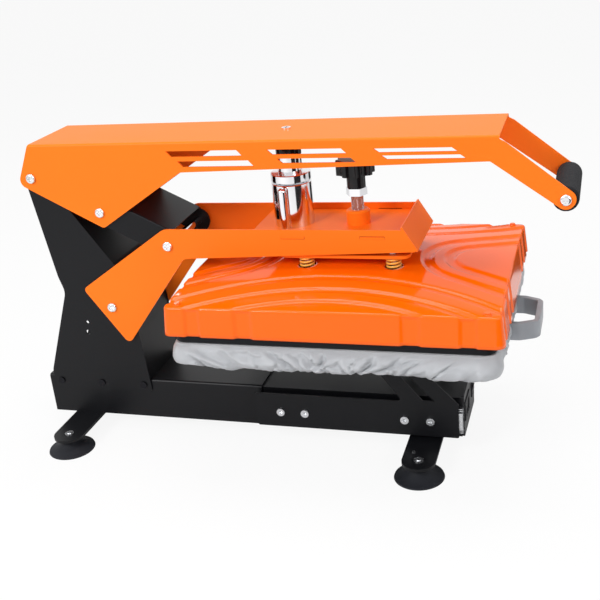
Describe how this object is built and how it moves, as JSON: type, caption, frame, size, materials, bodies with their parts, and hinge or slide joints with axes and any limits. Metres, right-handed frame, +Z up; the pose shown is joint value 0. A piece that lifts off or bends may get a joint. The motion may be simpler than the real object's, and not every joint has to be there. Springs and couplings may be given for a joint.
{
  "type": "flat heat press",
  "caption": "Clamshell flat heat press with a slide-out padded lower platen, sprung heated upper platen, holding magnet, pressure knob and a long channel handle on a toggle linkage.",
  "frame": {"origin": "on the ground under the middle of the press's box", "axes": "+X towards the operator, the way the drawer slides out; +Z up; -Y is the operator's left"},
  "size_m": [0.9388, 0.415, 0.54],
  "materials": {
    "black_coat": "satin black powder coat",
    "orange_satin": "satin orange powder coat",
    "orange_gloss": "glossy orange enamel on the platen cover",
    "chrome": "polished chrome plating",
    "zinc": "bright zinc-plated steel",
    "aluminium": "machined aluminium",
    "dark_platen": "dark non-stick coating",
    "black_plastic": "glossy black phenolic",
    "matte_black": "matte black plastic",
    "pale_panel": "pale grey panel with a dark border",
    "rubber": "black rubber",
    "foam": "black foam sleeve",
    "silicone": "silicone foam sheet",
    "silver_cloth": "silver-grey coated cloth",
    "insulation": "pale ceramic fibre board",
    "spring_yellow": "yellow lacquered spring steel",
    "grey_handle": "grey plastic"
  },
  "bodies": {
    "base": {"base_channel": "black_coat", "front_frame": "black_coat", "bottom_plate": "black_coat", "rear_panel": "black_coat", "control_fascia": "pale_panel", "controller": "matte_black", "switch_frame": "matte_black", "power_inlet": "matte_black", "fuse_holder": "matte_black", "solid_state_relay": "matte_black", "power_supply": "aluminium", "stand_plate_left": "black_coat", "stand_plate_right": "black_coat", "stand_web": "black_coat", "stand_screws": "zinc", "stand_shafts": "chrome", "foot_bars": "black_coat", "suction_feet": "rubber", "foot_studs": "zinc", "slide_outer_members": "zinc"},
    "slide_mid": {"slide_middle_members": "zinc"},
    "drawer": {"slide_inner_members": "zinc", "carriage_left": "black_coat", "carriage_right": "black_coat", "carriage_bolts": "zinc", "platen_support": "black_coat", "lower_platen": "aluminium", "silicone_pad": "silicone", "pad_cover": "silver_cloth", "pull_handle": "grey_handle"},
    "rocker": {"power_rocker": "black_plastic"},
    "platen_arm": {"arm_plate_left": "orange_satin", "arm_plate_right": "orange_satin", "arm_floor_plate": "orange_satin", "arm_front_plate": "orange_satin", "pressure_boss": "orange_satin", "magnet_body": "chrome", "magnet_side_tube": "chrome", "link_shaft": "chrome"},
    "handle": {"handle_channel": "orange_satin", "handle_screws": "chrome", "grip_tube": "zinc", "grip_foam": "foam", "armature_disc": "chrome", "armature_post": "chrome", "post_collar": "black_plastic"},
    "link": {"link_channel": "black_coat"},
    "plate": {"pressure_plate": "orange_satin", "die_springs": "spring_yellow"},
    "screw": {"pressure_screw": "chrome", "lock_nut": "zinc", "star_knob": "black_plastic"},
    "heat_platen": {"heater_plate": "dark_platen", "heating_element": "zinc", "insulation_board": "insulation", "spring_bridge": "zinc", "hanger_bolts": "zinc", "platen_cover": "orange_gloss", "cover_screws": "chrome", "cable_gland": "matte_black"}
  },
  "joints": [
    {"name": "arm_lift", "type": "hinge", "parent": "base", "child": "platen_arm", "pos_m": [-0.3075, 0, 0.2485], "axis": [0, -1, 0], "range_deg": [0, 45]},
    {"name": "handle_lift", "type": "hinge", "parent": "base", "child": "handle", "pos_m": [-0.418, 0, 0.48], "axis": [0, -1, 0], "range_deg": [0, 56.02]},
    {"name": "link_fold", "type": "hinge", "parent": "platen_arm", "child": "link", "pos_m": [-0.185, 0, 0.3625], "axis": [0, -1, 0], "range_deg": [-108.09, 0]},
    {"name": "drawer_slide", "type": "slide", "parent": "base", "child": "drawer", "axis": [1, 0, 0], "range_m": [0, 0.3]},
    {"name": "slide_mid_slide", "type": "slide", "parent": "base", "child": "slide_mid", "axis": [1, 0, 0], "range_m": [0, 0.15]},
    {"name": "rocker_tilt", "type": "hinge", "parent": "base", "child": "rocker", "pos_m": [0.291, 0.034, 0.07], "axis": [0, -1, 0], "range_deg": [0, 14]},
    {"name": "plate_lift", "type": "slide", "parent": "platen_arm", "child": "plate", "axis": [0, 0, 1], "range_m": [0, 0.006]},
    {"name": "screw_turn", "type": "hinge", "parent": "plate", "child": "screw", "pos_m": [0.1245, 0, 0.4], "axis": [0, 0, 1], "range_deg": [0, 1080.1]},
    {"name": "platen_float", "type": "slide", "parent": "plate", "child": "heat_platen", "axis": [0, 0, 1], "range_m": [0, 0.003], "stiffness_N_per_m": 40000, "springref_m": -0.002, "deforming": ["die_springs"]}
  ],
  "couplings": [
    {"joint": "handle_lift", "follows": "arm_lift", "ratio": 1.2447},
    {"joint": "link_fold", "follows": "arm_lift", "ratio": -2.4018},
    {"joint": "slide_mid_slide", "follows": "drawer_slide", "ratio": 0.5},
    {"joint": "screw_turn", "follows": "plate_lift", "rad_per_m": 3141.6}
  ]
}
